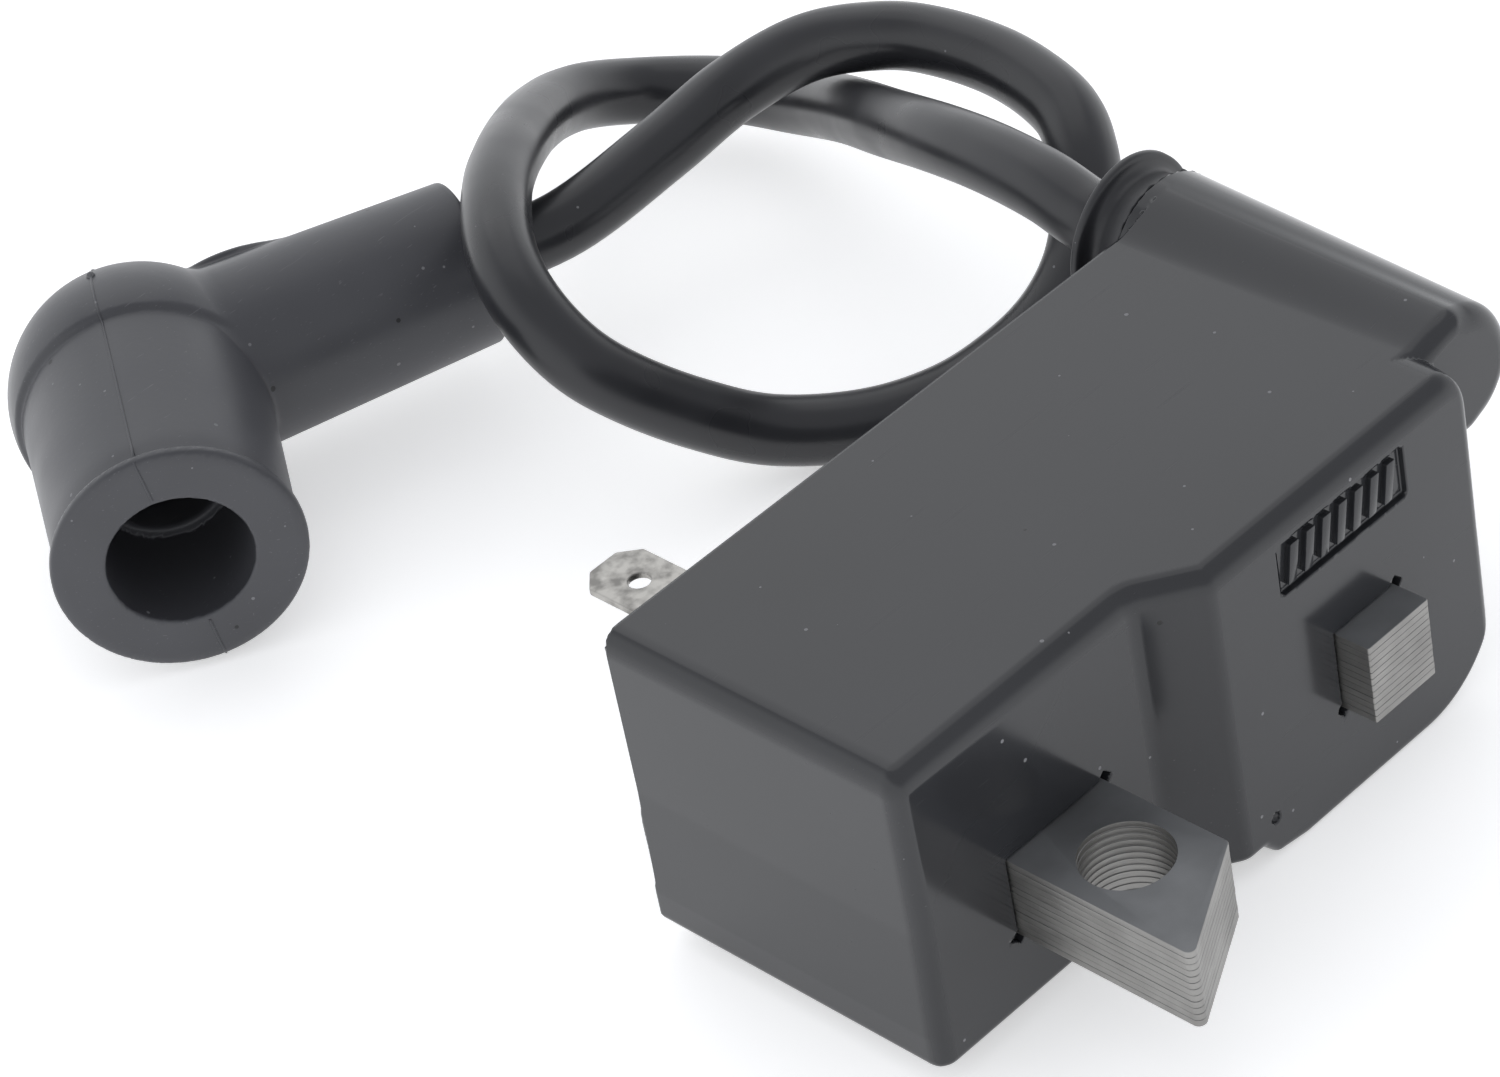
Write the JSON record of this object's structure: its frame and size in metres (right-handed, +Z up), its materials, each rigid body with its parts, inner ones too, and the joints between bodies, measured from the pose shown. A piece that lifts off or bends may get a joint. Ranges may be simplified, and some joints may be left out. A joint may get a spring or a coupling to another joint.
{
  "type": "ignition coil",
  "caption": "Potted ignition coil on a laminated core with a bolted leg and a short pole, a flat stop terminal, and a high tension lead with an elbow plug boot.",
  "frame": {"origin": "on the plane the case stands on, under the middle of the rigid unit's box, lead and boot left out", "axes": "+X along the case towards the lead tube, -Y the way the core's leg and pole point, +Z up, along the leg's bolt hole"},
  "size_m": [0.0776, 0.1113, 0.0262],
  "materials": {
    "case_plastic": "polished black moulding",
    "resin": "set black casting resin",
    "core_steel": "ground electrical steel",
    "rivet_steel": "plain",
    "bobbin_plastic": "natural nylon",
    "enamel_wire": "enamelled copper",
    "fine_wire": "fine enamelled copper",
    "contact_brass": "plain",
    "board": "solder mask",
    "component_black": "moulded epoxy",
    "capacitor_case": "dipped film",
    "resistor_body": "lacquered",
    "tinned_steel": "tinned",
    "tinned_blade": "tinned, mottled",
    "bushing_rubber": "satin",
    "lead_rubber": "satin",
    "copper_strand": "bare copper",
    "boot_rubber": "matt"
  },
  "bodies": {
    "unit": {"housing": "case_plastic", "potting": "resin", "core_sheets": "core_steel", "core_rivets": "rivet_steel", "primary_bobbin": "bobbin_plastic", "primary_winding": "enamel_wire", "trigger_winding": "enamel_wire", "secondary_bobbin": "bobbin_plastic", "secondary_winding": "fine_wire", "coil_links": "enamel_wire", "ht_terminal": "contact_brass", "ht_link": "enamel_wire", "circuit_board": "board", "power_transistor": "component_black", "trigger_transistor": "component_black", "capacitor": "capacitor_case", "resistors": "resistor_body", "diode": "component_black", "ground_spring": "tinned_steel", "stop_terminal": "tinned_blade", "lead_bushing": "bushing_rubber", "lead_jacket": "lead_rubber", "lead_cores": "copper_strand"},
    "boot": {"boot": "boot_rubber", "plug_spring": "tinned_steel", "contact_hook": "tinned_steel"}
  },
  "joints": [
    {"name": "boot_swivel", "type": "hinge", "parent": "unit", "child": "boot", "pos_m": [-0.017, 0.0786, 0.0094], "axis": [0.9397, -0.342, 0], "range_deg": [-170, 0]}
  ]
}
